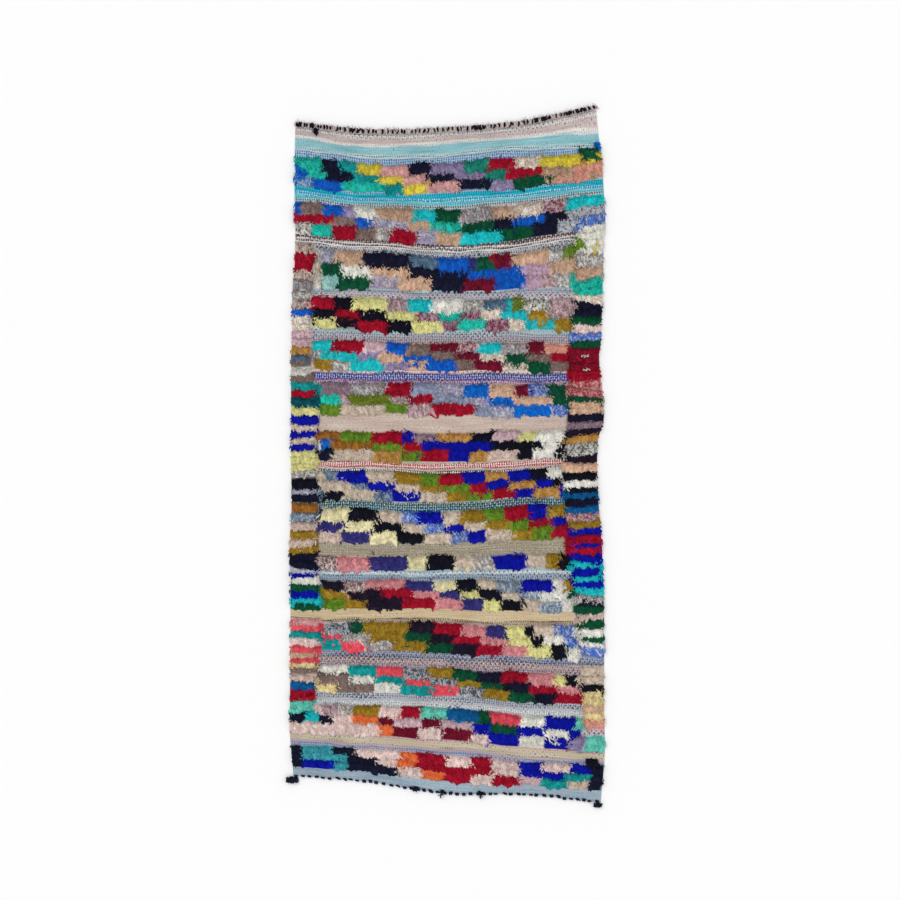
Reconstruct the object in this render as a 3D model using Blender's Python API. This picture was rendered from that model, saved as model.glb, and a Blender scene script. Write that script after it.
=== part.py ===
# A narrow Moroccan rag rug lying flat on the floor, in metres.
# X runs across the rug, Y along it towards its corded end, and Z up from the floor.
# The cloth is one solid, thin where it is flat-woven and thick where rows of tufts lie on it.
# A twined cord runs along its upper end, and a knot of yarn sits at each lower corner.

from collections import namedtuple

import bmesh
import bpy
from mathutils import Matrix, Vector

# Driving sizes
FLAT_THICK = 0.006      # the flat-woven ground
HEM_THICK = 0.009       # the lower end, which is rolled and overcast
CREST_THICK = 0.024     # the crest of a row of tufts
DIP_THICK = 0.017       # between two rows, where the next tufts come out
BORDER_THICK = 0.016    # the short tufts of the side borders
SIDE_SHARE = 0.55       # share of the thickness that is left at the very side
CREST_AT = 0.72         # how far down its own row a crest lies
CORD_WIDE = 0.022       # the twined cord lies flattened
CORD_THICK = 0.014
CORD_PAST_SIDE = 0.006  # how far the cord's ends stand past the cloth
GAP = 0.0003            # between pieces that touch
ROUND_SIDES = 12        # faces round the cord and the knots

# The side borders, as shares of the rug's width, and the lengths between which they are tufted.
BORDER_LEFT = 0.09
BORDER_RIGHT = 0.10
BORDER_FROM = 0.40
BORDER_TO = 2.16
BORDER_STEPS = (0.4, 0.85)
MIDDLE_COLUMNS = 10

CLOTH_COLOUR = (0.42, 0.36, 0.36)
CORD_COLOUR = (0.16, 0.15, 0.15)
KNOT_COLOUR = (0.02, 0.02, 0.05)

# The bands from the corded end down: length on the middle line, and rows of knots.
Band = namedtuple("Band", "length rows")
BANDS = [
    Band(0.107, 0), Band(0.118, 3),
    Band(0.056, 0), Band(0.130, 3),
    Band(0.048, 0), Band(0.122, 3),
    Band(0.030, 0), Band(0.122, 3),
    Band(0.041, 0), Band(0.104, 3),
    Band(0.048, 0), Band(0.122, 3),
    Band(0.059, 0), Band(0.104, 3),
    Band(0.044, 0), Band(0.107, 3),
    Band(0.033, 0), Band(0.126, 3),
    Band(0.044, 0), Band(0.048, 1),
    Band(0.041, 0), Band(0.104, 3),
    Band(0.052, 0), Band(0.111, 3),
    Band(0.056, 0), Band(0.100, 3),
    Band(0.048, 0), Band(0.115, 3),
    Band(0.059, 0), Band(0.100, 3),
    Band(0.044, 0),
]

# Where the two sides lie, by the length from the corded end down the middle line.
Side = namedtuple("Side", "at left right")
SIDE_TABLE = [
    Side(0.000, -0.559, 0.553),
    Side(0.104, -0.561, 0.572),
    Side(0.230, -0.562, 0.579),
    Side(0.410, -0.560, 0.588),
    Side(0.478, -0.559, 0.581),
    Side(0.600, -0.570, 0.577),
    Side(0.785, -0.572, 0.570),
    Side(0.840, -0.575, 0.563),
    Side(0.970, -0.575, 0.577),
    Side(1.080, -0.575, 0.581),
    Side(1.143, -0.577, 0.562),
    Side(1.284, -0.574, 0.557),
    Side(1.377, -0.572, 0.561),
    Side(1.543, -0.581, 0.574),
    Side(1.728, -0.577, 0.582),
    Side(2.098, -0.579, 0.583),
    Side(2.228, -0.581, 0.585),
    Side(2.320, -0.575, 0.581),
    Side(2.442, -0.566, 0.570),
]

# How far a weft line strays towards the corded end, at five places across, from where it crosses the middle.
Drift = namedtuple("Drift", "at left quarter three_quarter right")
DRIFT_TABLE = [
    Drift(0.000, 0.020, -0.007, 0.024, 0.083),
    Drift(0.052, 0.020, -0.012, 0.020, 0.038),
    Drift(0.231, 0.028, 0.004, 0.026, 0.054),
    Drift(0.455, 0.041, 0.020, 0.024, 0.059),
    Drift(0.596, 0.011, 0.004, 0.004, 0.011),
    Drift(0.892, 0.004, 0.004, 0.000, 0.004),
    Drift(1.256, 0.009, 0.006, 0.009, 0.024),
    Drift(1.513, 0.007, 0.004, 0.015, 0.026),
    Drift(1.806, 0.011, 0.004, -0.007, -0.015),
    Drift(2.120, 0.015, 0.011, -0.026, -0.037),
    Drift(2.287, 0.037, 0.026, -0.022, -0.041),
    Drift(2.442, 0.067, 0.043, -0.004, -0.033),
]

# The knots of yarn reach in along the hem and out past the side of the cloth.
Knot = namedtuple("Knot", "name corner inboard inward outward wide thick")
KNOTS = [
    Knot("corner_knot_left", 0, 1, 0.024, 0.030, 0.032, 0.018),
    Knot("corner_knot_right", -1, -2, 0.028, 0.008, 0.021, 0.014),
]
KNOT_SWELL = [0.5, 0.85, 1.0, 1.0, 0.8, 0.5]


def clear_scene():
    for item in list(bpy.data.objects):
        bpy.data.objects.remove(item, do_unlink=True)


def smooth_value(places, values, place):
    """Read a table of values by a smooth curve through its points."""
    last = len(places) - 1
    place = min(max(place, places[0]), places[last])
    low = max(index for index in range(last) if places[index] <= place)

    def slope(index):
        before = max(index - 1, 0)
        after = min(index + 1, last)
        return (values[after] - values[before]) / (places[after] - places[before])

    width = places[low + 1] - places[low]
    t = (place - places[low]) / width
    near = (2 * t ** 3 - 3 * t ** 2 + 1) * values[low] + (t ** 3 - 2 * t ** 2 + t) * width * slope(low)
    far = (3 * t ** 2 - 2 * t ** 3) * values[low + 1] + (t ** 3 - t ** 2) * width * slope(low + 1)
    return near + far


def read_table(table, name, at):
    return smooth_value([row.at for row in table], [getattr(row, name) for row in table], at)


def cloth_point(at, across):
    """A point of the cloth in plan: at is the length down the rug, and across runs from 0 to 1."""
    left = read_table(SIDE_TABLE, "left", at)
    right = read_table(SIDE_TABLE, "right", at)
    stray = [
        read_table(DRIFT_TABLE, "left", at),
        read_table(DRIFT_TABLE, "quarter", at),
        0.0,
        read_table(DRIFT_TABLE, "three_quarter", at),
        read_table(DRIFT_TABLE, "right", at),
    ]
    return Vector((left + across * (right - left), smooth_value([0, 0.25, 0.5, 0.75, 1], stray, across) - at))


def cross_lines():
    """Each line across the upper face: length down the rug, thickness, and whether it is pile."""
    lines = [(0.0, CORD_THICK / 2, False)]
    start = 0.0
    for band in BANDS:
        for row in range(band.rows):
            pitch = band.length / band.rows
            if row:
                lines.append((start + row * pitch, DIP_THICK, True))
            lines.append((start + (row + CREST_AT) * pitch, CREST_THICK, True))
        start += band.length
        lines.append((start, FLAT_THICK, False))
    lines[-1] = (start, HEM_THICK, False)
    return lines


def shares_across():
    """Where the faces part across the rug: closer together in the borders than in the middle."""
    field = 1.0 - BORDER_LEFT - BORDER_RIGHT
    left = [0.0] + [BORDER_LEFT * step for step in BORDER_STEPS]
    middle = [BORDER_LEFT + field * column / MIDDLE_COLUMNS for column in range(MIDDLE_COLUMNS + 1)]
    right = [1.0 - BORDER_RIGHT * step for step in reversed(BORDER_STEPS)] + [1.0]
    return left + middle + right


def thickness_at(line, across):
    at, thick, is_pile = line
    in_border = across < BORDER_LEFT or across > 1.0 - BORDER_RIGHT
    if in_border and not is_pile and BORDER_FROM < at < BORDER_TO:
        thick = BORDER_THICK
    if thick > HEM_THICK and across in (0.0, 1.0):
        thick *= SIDE_SHARE
    return thick


def edge_points(at):
    """The corners of the cloth's end edge at a length down the rug, from left to right."""
    return [cloth_point(at, across) for across in shares_across()]


def finish_piece(name, bm, colour, roughness, parent):
    bmesh.ops.recalc_face_normals(bm, faces=bm.faces)
    mesh = bpy.data.meshes.new(name)
    bm.to_mesh(mesh)
    bm.free()
    material = bpy.data.materials.new(name)
    material.use_nodes = True
    shader = material.node_tree.nodes["Principled BSDF"]
    shader.inputs["Base Color"].default_value = (*colour, 1.0)
    shader.inputs["Roughness"].default_value = roughness
    shader.inputs["Metallic"].default_value = 0.0
    mesh.materials.append(material)
    piece = bpy.data.objects.new(name, mesh)
    bpy.context.collection.objects.link(piece)
    piece.parent = parent
    return piece


def add_rug(parent):
    """The cloth: its upper face as a grid, extruded down to a flat underside on the floor."""
    bm = bmesh.new()
    grid = []
    for line in cross_lines():
        points = [(cloth_point(line[0], across), thickness_at(line, across)) for across in shares_across()]
        grid.append([bm.verts.new((point.x, point.y, thick)) for point, thick in points])
    for upper, lower in zip(grid, grid[1:]):
        for column in range(len(upper) - 1):
            bm.faces.new((upper[column], lower[column], lower[column + 1], upper[column + 1]))
    under = bmesh.ops.extrude_face_region(bm, geom=bm.faces[:], use_keep_orig=True)
    for item in under["geom"]:
        if isinstance(item, bmesh.types.BMVert):
            item.co.z = 0.0
    return finish_piece("rug", bm, CLOTH_COLOUR, 0.95, parent)


def line_beside(points, distance):
    """A line at the same distance from each stretch of another, on its left as it runs."""
    result = []
    for index, point in enumerate(points):
        before = point - points[index - 1] if index else points[1] - point
        after = points[index + 1] - point if index < len(points) - 1 else before
        normal_before = Vector((-before.y, before.x)).normalized()
        normal_after = Vector((-after.y, after.x)).normalized()
        normal = (normal_before + normal_after).normalized()
        result.append(point + normal * (distance / normal.dot(normal_after)))
    return result


def add_sweep(name, path, wide, thick, swell, colour, parent):
    """A flattened round section carried along a path on the floor and closed at both ends."""
    bm = bmesh.new()
    rings = []
    for index, place in enumerate(path):
        run = path[min(index + 1, len(path) - 1)] - path[max(index - 1, 0)]
        side = Vector((-run.y, run.x, 0.0)).normalized() * (wide / 2 * swell[index])
        up = Vector((0.0, 0.0, thick / 2 * swell[index]))
        turned = Matrix((side, up, side.cross(up).normalized())).transposed().to_4x4()
        turned.translation = (place.x, place.y, thick / 2)
        ring = bmesh.ops.create_circle(bm, cap_ends=False, radius=1.0, segments=ROUND_SIDES, matrix=turned)
        rings.append(ring["verts"])
    for ring, beyond in zip(rings, rings[1:]):
        for step in range(ROUND_SIDES):
            after = (step + 1) % ROUND_SIDES
            bm.faces.new((ring[step], ring[after], beyond[after], beyond[step]))
    bm.faces.new(rings[0])
    bm.faces.new(rings[-1])
    piece = finish_piece(name, bm, colour, 0.9, parent)
    piece.data.shade_smooth()
    piece.data.set_sharp_from_angle(angle=0.8)
    return piece


def add_cord(parent):
    """The cord follows the cloth's upper end at a small gap, and its ends stand a little past the sides."""
    edge = edge_points(0.0)
    start = edge[0] + (edge[0] - edge[1]).normalized() * CORD_PAST_SIDE
    end = edge[-1] + (edge[-1] - edge[-2]).normalized() * CORD_PAST_SIDE
    path = line_beside([start] + edge + [end], CORD_WIDE / 2 + GAP)
    return add_sweep("head_cord", path, CORD_WIDE, CORD_THICK, [1.0] * len(path), CORD_COLOUR, parent)


def add_knot(knot, parent):
    """A lump of yarn against the hem's outer edge, run along its first straight stretch."""
    edge = edge_points(sum(band.length for band in BANDS))
    corner = edge[knot.corner]
    inward = (edge[knot.inboard] - corner).normalized()
    first = corner - inward * knot.outward
    stretch = inward * (knot.inward + knot.outward)
    away = Vector((inward.y, -inward.x))
    if away.y > 0:
        away.negate()
    away *= knot.wide / 2 + GAP
    steps = len(KNOT_SWELL) - 1
    path = [first + stretch * (step / steps) + away for step in range(len(KNOT_SWELL))]
    return add_sweep(knot.name, path, knot.wide, knot.thick, KNOT_SWELL, KNOT_COLOUR, parent)


def centre_on_floor(pieces, parent):
    """Move the parent so that the middle of all the pieces, in plan, is at the origin."""
    across = [vertex.co.x for piece in pieces for vertex in piece.data.vertices]
    along = [vertex.co.y for piece in pieces for vertex in piece.data.vertices]
    parent.location = (-(min(across) + max(across)) / 2, -(min(along) + max(along)) / 2, 0.0)


def build():
    clear_scene()
    floor_middle = bpy.data.objects.new("floor_middle", None)
    bpy.context.collection.objects.link(floor_middle)
    pieces = [add_rug(floor_middle), add_cord(floor_middle)]
    for knot in KNOTS:
        pieces.append(add_knot(knot, floor_middle))
    centre_on_floor(pieces, floor_middle)


build()
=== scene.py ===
import math
from collections import namedtuple

import bpy
import numpy as np
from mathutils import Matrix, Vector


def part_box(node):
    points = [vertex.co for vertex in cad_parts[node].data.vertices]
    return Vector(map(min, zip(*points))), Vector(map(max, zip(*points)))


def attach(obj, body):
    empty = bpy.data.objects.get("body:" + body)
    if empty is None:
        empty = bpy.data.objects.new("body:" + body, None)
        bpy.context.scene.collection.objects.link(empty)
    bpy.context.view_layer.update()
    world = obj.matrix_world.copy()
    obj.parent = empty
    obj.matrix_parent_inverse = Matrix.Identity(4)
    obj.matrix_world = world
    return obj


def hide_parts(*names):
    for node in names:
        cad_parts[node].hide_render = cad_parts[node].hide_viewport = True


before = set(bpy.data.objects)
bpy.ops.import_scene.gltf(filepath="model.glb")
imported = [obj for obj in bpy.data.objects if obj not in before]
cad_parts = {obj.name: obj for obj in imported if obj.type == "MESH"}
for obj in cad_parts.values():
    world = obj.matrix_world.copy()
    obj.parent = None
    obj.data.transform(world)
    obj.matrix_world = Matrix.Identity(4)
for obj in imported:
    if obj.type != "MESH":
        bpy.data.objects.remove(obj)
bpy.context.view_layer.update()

# A narrow rag rug, flat on the floor. X runs across it, Y towards its corded end, Z up.
# The pattern below is a weaver's chart: named yarns with rough widths in centimetres.

rugLow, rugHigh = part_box("rug")
scene = bpy.context.scene
random = np.random.default_rng(7)

# The cloth's plan, as the rug's solid has it, in metres down the rug: flat weave has no rows of knots.
Band = namedtuple("Band", "length rows")
bands = [
    Band(0.107, 0), Band(0.118, 3),
    Band(0.056, 0), Band(0.130, 3),
    Band(0.048, 0), Band(0.122, 3),
    Band(0.030, 0), Band(0.122, 3),
    Band(0.041, 0), Band(0.104, 3),
    Band(0.048, 0), Band(0.122, 3),
    Band(0.059, 0), Band(0.104, 3),
    Band(0.044, 0), Band(0.107, 3),
    Band(0.033, 0), Band(0.126, 3),
    Band(0.044, 0), Band(0.048, 1),
    Band(0.041, 0), Band(0.104, 3),
    Band(0.052, 0), Band(0.111, 3),
    Band(0.056, 0), Band(0.100, 3),
    Band(0.048, 0), Band(0.115, 3),
    Band(0.059, 0), Band(0.100, 3),
    Band(0.044, 0),
]
bandStarts = np.cumsum([0.0] + [band.length for band in bands])
rugLength = float(bandStarts[-1])

Side = namedtuple("Side", "at left right")
sideTable = [
    Side(0.000, -0.559, 0.553),
    Side(0.104, -0.561, 0.572),
    Side(0.230, -0.562, 0.579),
    Side(0.410, -0.560, 0.588),
    Side(0.478, -0.559, 0.581),
    Side(0.600, -0.570, 0.577),
    Side(0.785, -0.572, 0.570),
    Side(0.840, -0.575, 0.563),
    Side(0.970, -0.575, 0.577),
    Side(1.080, -0.575, 0.581),
    Side(1.143, -0.577, 0.562),
    Side(1.284, -0.574, 0.557),
    Side(1.377, -0.572, 0.561),
    Side(1.543, -0.581, 0.574),
    Side(1.728, -0.577, 0.582),
    Side(2.098, -0.579, 0.583),
    Side(2.228, -0.581, 0.585),
    Side(2.320, -0.575, 0.581),
    Side(2.442, -0.566, 0.570),
]
# How far the weft has drifted up or down from a straight line, at five places across.
Drift = namedtuple("Drift", "at left quarter threeQuarter right middle", defaults=(0,))
driftTable = [
    Drift(0.000, 0.020, -0.007, 0.024, 0.083),
    Drift(0.052, 0.020, -0.012, 0.020, 0.038),
    Drift(0.231, 0.028, 0.004, 0.026, 0.054),
    Drift(0.455, 0.041, 0.020, 0.024, 0.059),
    Drift(0.596, 0.011, 0.004, 0.004, 0.011),
    Drift(0.892, 0.004, 0.004, 0.000, 0.004),
    Drift(1.256, 0.009, 0.006, 0.009, 0.024),
    Drift(1.513, 0.007, 0.004, 0.015, 0.026),
    Drift(1.806, 0.011, 0.004, -0.007, -0.015),
    Drift(2.120, 0.015, 0.011, -0.026, -0.037),
    Drift(2.287, 0.037, 0.026, -0.022, -0.041),
    Drift(2.442, 0.067, 0.043, -0.004, -0.033),
]
plainWidth = 1.15      # the usual width, in which the chart is read
# World x and y of the plan's own origin.
originX = rugLow[0] - min(row.left for row in sideTable)
originY = rugHigh[1] - driftTable[0].right
# The beaten weft strays in small waves, which die out near both ends.
swayWaves = ((0.0024, 11, 9, 0), (0.0018, 23, -31, 2), (0.0009, 47, 83, 0))
swayFade = 0.05

# Yarns, in the 0 to 255 of a screen.
yarns = {
    "navy": (22, 24, 46), "black": (18, 19, 32), "plum": (32, 24, 42), "yellow": (212, 194, 66),
    "mustard": (156, 124, 38), "gold": (182, 136, 72), "rust": (158, 104, 44), "pink": (210, 158, 156),
    "palePink": (202, 172, 180), "pinkLight": (224, 200, 194), "rose": (208, 138, 142),
    "salmon": (208, 146, 130), "coral": (226, 82, 98), "orange": (224, 112, 62), "lavender": (146, 134, 168),
    "lilac": (182, 152, 172), "jade": (30, 126, 110), "mint": (34, 182, 164), "mintLight": (104, 200, 182),
    "mintPale": (150, 196, 190), "teal": (22, 150, 150), "darkTeal": (12, 84, 96),
    "turquoise": (30, 188, 194), "royal": (18, 92, 192), "azure": (14, 104, 198), "azureDark": (14, 92, 150),
    "ultramarine": (10, 20, 158), "indigo": (54, 52, 118), "crimson": (160, 16, 42), "maroon": (112, 18, 42),
    "tan": (190, 158, 134), "peach": (208, 172, 146), "taupe": (128, 108, 102), "mauve": (146, 122, 134),
    "cream": (222, 220, 210), "lemon": (218, 214, 146), "lemonPale": (222, 214, 172),
    "beige": (202, 186, 168), "pinkBeige": (206, 184, 172), "slate": (88, 114, 138),
    "greyBlue": (140, 148, 172), "paleGrey": (188, 192, 198), "olive": (104, 118, 38),
    "green": (102, 138, 40), "darkGreen": (12, 78, 52), "white": (226, 224, 216),
    "yellowPale": (222, 204, 150), "grey": (136, 128, 132), "darkGrey": (58, 56, 68),
    "linen": (200, 180, 168), "sand": (204, 184, 146), "khaki": (158, 150, 130), "khakiPale": (206, 196, 168),
    "heather": (186, 176, 182), "paleBlue": (164, 192, 208), "blueDash": (36, 96, 172),
    "royalDash": (44, 72, 168), "turquoiseDash": (18, 158, 192), "hemBlue": (160, 176, 190),
    "lavenderGrey": (164, 168, 186), "redDash": (172, 44, 58), "purple": (74, 60, 148),
    "aqua": (128, 198, 200), "slateGrey": (104, 114, 140), "greenDash": (38, 90, 86),
    "seaBlue": (62, 158, 170),
}

# Rags of two colours: the main one, the other, and the other's share.
mottles = {
    "heatherBlue": ("paleBlue", "blueDash", 0.4),
    "taupeMottle": ("taupe", "paleGrey", 0.45),
    "creamMottle": ("cream", "tan", 0.4),
    "pinkMottle": ("palePink", "taupe", 0.35),
    "pinkMaroon": ("palePink", "maroon", 0.4),
    "lavenderMottle": ("lavender", "paleGrey", 0.45),
    "greyMottle": ("grey", "cream", 0.4),
    "maroonMottle": ("maroon", "lilac", 0.4),
    "maroonWhite": ("maroon", "cream", 0.42),
    "blueMottle": ("royal", "paleGrey", 0.3),
    "tealMottle": ("greyBlue", "darkTeal", 0.3),
    "greyNavy": ("paleGrey", "navy", 0.45),
    "brownWhite": ("taupe", "cream", 0.5),
    "whiteNavy": ("white", "indigo", 0.4),
    "creamBlack": ("cream", "black", 0.4),
    "creamSpeck": ("pinkBeige", "darkGrey", 0.2),
    "paleSpeck": ("paleGrey", "navy", 0.2),
    "pinkRed": ("pink", "crimson", 0.5),
    "slateMottle": ("slate", "paleGrey", 0.4),
    "redMottle": ("maroon", "crimson", 0.4),
}

# Each run is read for one row of knots after another, every row a step further to the right.
# Its first yarn is the last row's at the left side. Widths and steps are centimetres.
Run = namedtuple("Run", "rows step order")
pileChart = [
    [Run((1,), 0, "mint 10.5, navy 6, teal 7.5, yellow 9.5, pink 9, navy 10.5, lavender 10, jade 9.5,"
         "crimson 10.5, creamMottle 10, yellow 14, gold 3, yellow 8"),
     Run((2,), 0, "royal 5, mint 7, navy 9.5, teal 10, yellow 8.5, pink 9, navy 11.5, lavender 10.5,"
         "jade 9.5, crimson 12.5, tan 11, salmon 12"),
     Run((3,), 0, "heatherBlue 7, royal 11, mint 16, teal 7, yellow 10, pink 10.5, navy 12, lavender 8.5,"
         "darkGreen 15, salmon 12, tan 14")],
    [Run((1,), 0, "royal 3, taupe 7, royal 8, lavender 4, cream 9, tan 13.5, turquoise 8, darkGreen 10,"
         "taupeMottle 11, tan 9, creamMottle 10, pinkMaroon 9, turquoise 12"),
     Run((2,), 0, "crimson 14.5, taupe 7, royal 7, lavenderMottle 13, tan 8.5, mint 11.5, darkGreen 11.5,"
         "navy 7.5, royal 12.5, navy 8.5, paleSpeck 12"),
     Run((3,), 0, "creamBlack 6, mint 8, crimson 9, taupe 8.5, greyMottle 4, crimson 9, lavenderMottle 10,"
         "tan 8.5, turquoise 12.5, darkGreen 11.5, navy 10.5, paleSpeck 7, blueMottle 5")],
    [Run((1,), 0, "greyMottle 10, lavenderMottle 6, peach 10, navy 16.5, slate 10, royal 13, indigo 2.5,"
         "darkGreen 6, maroon 6.5, peach 13.5, greyMottle 6.5, green 6, lemonPale 10"),
     Run((2,), 0, "creamMottle 10, darkGreen 7.5, cream 10.5, peach 15, navy 22, royal 20, lilac 9, tan 20"),
     Run((3,), 0, "creamMottle 10.5, mintPale 6.5, darkGreen 11, lavenderMottle 12, peach 12, navy 13,"
         "maroon 10.5, royal 10.5, lilac 6.5, pinkMottle 4, greyMottle 7, mint 12")],
    [Run((1,), 0, "taupeMottle 6.5, crimson 9, black 7.5, lemon 12.5, pinkMottle 7.5, turquoise 8.5,"
         "white 10.5, greyMottle 9.5, slate 8.5, turquoise 2.5, olive 4, creamBlack 8.5, pinkMottle 19"),
     Run((2, 3), 9.2, "taupeMottle 8, lemon 9.5, black 8, crimson 9.5, black 9.5, lemon 11, maroonMottle 7,"
         "mint 9.5, maroonMottle 8, creamMottle 7, turquoise 10.5, mustard 7, pinkMottle 10")],
    [Run((1,), 0, "mustard 6.5, turquoise 8, crimson 12.5, palePink 9, royal 8, taupe 8, maroon 10.5,"
         "pinkMaroon 7.5, turquoise 8, taupeMottle 10.5, maroon 5.5, salmon 9.5, crimson 12"),
     Run((2, 3), 9, "taupe 6.5, mustard 8, greyMottle 7.5, turquoise 13, lavender 8.5, peach 8, royal 10,"
         "taupe 8.5, maroon 9.5, creamMottle 10, darkGreen 8, taupe 9, crimson 8, maroon 12")],
    [Run((1,), 0, "teal 11, mauve 12, taupeMottle 12, crimson 10, greyBlue 10, lavenderMottle 9.5, azure 9.5,"
         "peach 9.5, maroon 4.5, blueMottle 6.5, darkGreen 8, pinkRed 12"),
     Run((2,), 0, "darkTeal 10.9, mint 7.4, pinkMottle 2.5, olive 14.9, pinkMottle 7.4, crimson 9.9,"
         "greyBlue 12.4, lavenderMottle 8.3, azure 8.2, peach 14.1, darkGreen 12"),
     Run((3,), 0, "darkTeal 10.1, green 9.5, beige 14.8, green 8.7, pinkMottle 9.5, crimson 14.4, greyBlue 8,"
         "lavenderMottle 6.9, azure 13.6, blueMottle 6.2, grey 12")],
    [Run((1,), 0, "beige 10, rust 8.5, green 11.5, crimson 11, ultramarine 6, mauve 8, gold 12, black 8.5,"
         "palePink 9, lemon 7.5, white 10, black 14"),
     Run((2,), 0, "whiteNavy 12, azure 4, rust 16, green 9.5, crimson 8.5, ultramarine 25, black 20, white 6,"
         "black 6, white 14"),
     Run((3,), 0, "whiteNavy 11, navy 5, beige 16, gold 9, green 9, crimson 9, ultramarine 9, gold 7.5,"
         "pinkBeige 9, black 6, white 9, black 5, white 20")],
    [Run((1, 2, 3), 9.2, "tealMottle 12, black 8, beige 11, tealMottle 6, ultramarine 11, beige 10,"
         "mustard 8.5, green 9, crimson 8, ultramarine 8.5, gold 9, ultramarine 7, black 7, cream 20")],
    [Run((1, 2, 3), 9, "pinkBeige 20, indigo 9.5, lemonPale 11, black 10, beige 9, blueMottle 6,"
         "ultramarine 8.5, beige 9, mustard 7.5, green 8, crimson 7.5, ultramarine 8, mustard 7, beige 14")],
    [Run((1,), 0, "navy 10, maroonWhite 8.5, rose 11, indigo 13, lemonPale 9.5, black 9.5, beige 7.5,"
         "greyMottle 6, ultramarine 12.5, beige 6.5, mustard 6.5, black 5.5, ultramarine 14")],
    [Run((1,), 0, "olive 11, plum 8, maroonWhite 9.5, rose 14.5, indigo 10.5, lemonPale 7.5, black 7.5,"
         "beige 7.5, slateMottle 9, ultramarine 11, white 4.5, mustard 6, darkGreen 12"),
     Run((2, 3), 8, "green 20, mustard 8.5, plum 13, crimson 12, rose 9, indigo 8, lemon 7.5, black 7.5,"
         "beige 7, slateMottle 8, white 10, darkGreen 16")],
    [Run((1,), 0, "rose 6, coral 7, greyNavy 9, darkGreen 5.5, mustard 16, plum 10, crimson 9, rose 9.5,"
         "indigo 7.5, lemon 6.5, black 4, beige 7, blueMottle 7, white 14"),
     Run((2, 3), 8.5, "lemonPale 12, teal 7.5, coral 7.5, greyMottle 11, mustard 12, darkGreen 10, plum 9.5,"
         "crimson 9, rose 9, lemon 8, black 6, cream 7, blueMottle 7, white 14")],
    [Run((1, 2, 3), 10, "yellowPale 18.5, taupe 12.5, cream 10.5, teal 10.5, coral 10, greyNavy 9, mustard 9,"
         "darkGreen 9, navy 9, crimson 9, rose 9.5, lemon 5, black 4, beige 14")],
    [Run((1,), 0, "mint 5, pinkLight 6.5, pinkMottle 6.5, brownWhite 5.5, mustard 10, pinkLight 7.5,"
         "crimson 7.5, mintLight 10, azureDark 10.5, darkGreen 4.5, coral 11, cream 9.5, ultramarine 11,"
         "mintLight 5.5, yellowPale 12"),
     Run((2,), 0, "navy 5.5, turquoise 4.5, navy 5.5, pinkLight 8, orange 8.5, maroon 7.5, palePink 8.5,"
         "maroon 8, palePink 11, ultramarine 6, darkGreen 11, ultramarine 8.5, cream 9.5, ultramarine 7.5,"
         "palePink 14"),
     Run((3,), 0, "pinkLight 33, orange 5.5, maroon 10, pinkLight 8, maroon 11, pinkLight 5.5,"
         "ultramarine 11, cream 8.5, ultramarine 10.5, lavender 5.5, mintLight 14")],
    [Run((1,), 0, "navy 4, seaBlue 12.5, navy 7, pinkLight 16.5, orange 6.5, crimson 10.5, pinkLight 9.5,"
         "crimson 8, pinkLight 10, ultramarine 8, pinkLight 10, ultramarine 8.5, navy 8"),
     Run((2,), 0, "navy 4, seaBlue 17.5, navy 10, pinkLight 8, orange 6.5, crimson 27.5, pinkLight 10.5,"
         "ultramarine 18, teal 8.5, navy 8"),
     Run((3,), 0, "navy 4, ultramarine 12.5, seaBlue 5, navy 18, pinkLight 9.5, orange 8, crimson 9.5,"
         "pinkLight 9, crimson 9, palePink 8, teal 10, beige 8.5, navy 8")],
]

# The side borders, read down the rug from where their tufts begin, in centimetres. Bare is untufted.
leftBorder = (
    "bare 5.5, creamSpeck 2.4, crimson 4.6, creamSpeck 3.8, taupeMottle 3.8, greyMottle 3.2, creamSpeck 3.1,"
    "royal 2.2, creamMottle 5, palePink 6.4, gold 3.6, slate 1.6, taupe 3.3, cream 1.8, taupe 3, teal 2.6,"
    "crimson 2.9, darkTeal 3.8, lemon 3.4, ultramarine 2.6, beige 2.3, ultramarine 2.3, beige 1.8,"
    "ultramarine 3.5, lemon 7.8, greyMottle 3.4, black 3.3, lavenderMottle 1.7, navy 3.7, rust 3.7,"
    "slateMottle 3.6, pinkBeige 2.8, mustard 3.2, pinkBeige 1.8, mustard 3.5, navy 4.8, paleGrey 1.2,"
    "ultramarine 2.9, cream 2.2, darkGreen 1.5, ultramarine 3.8, turquoise 1.2, darkGreen 1, bare 5.7,"
    "pink 1.2, coral 2.5, teal 3.1, pinkLight 2.5, coral 1.9, peach 1.6, coral 2.2, yellowPale 1.8,"
    "taupe 3.5, pinkBeige 3.1, azureDark 2.8, crimson 4.2, mintLight 7"
)
rightBorder = (
    "cream 9.7, greyMottle 3.6, tan 3.3, mint 4.2, creamMottle 2.3, navy 5, darkGreen 2.6, pinkLight 3.6,"
    "blueMottle 2.6, darkGreen 2.5, redMottle 8.7, crimson 4.5, pinkRed 5.9, darkGreen 1.9, peach 4.8,"
    "navy 3.4, mauve 2.4, plum 3.5, gold 2, creamBlack 4.6, plum 3.8, peach 3.5, black 2.2, white 2.9,"
    "black 1.9, azureDark 2.7, navy 2.6, azureDark 2.2, pinkMaroon 3.8, mustard 1.8, ultramarine 3,"
    "crimson 1.9, ultramarine 2.1, crimson 2.4, ultramarine 2.2, turquoise 1.6, ultramarine 2.3,"
    "turquoise 2.2, ultramarine 1.9, turquoise 2.9, greyMottle 1.6, navy 2.2, darkGreen 2.2, pinkBeige 1.9,"
    "darkGreen 3.4, white 2.2, darkGreen 1.5, white 1.5, blueMottle 3.2, bare 4.9, beige 5.8, black 1.8,"
    "yellowPale 5, peach 2.4, yellowPale 2.9, salmon 3"
)
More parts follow.
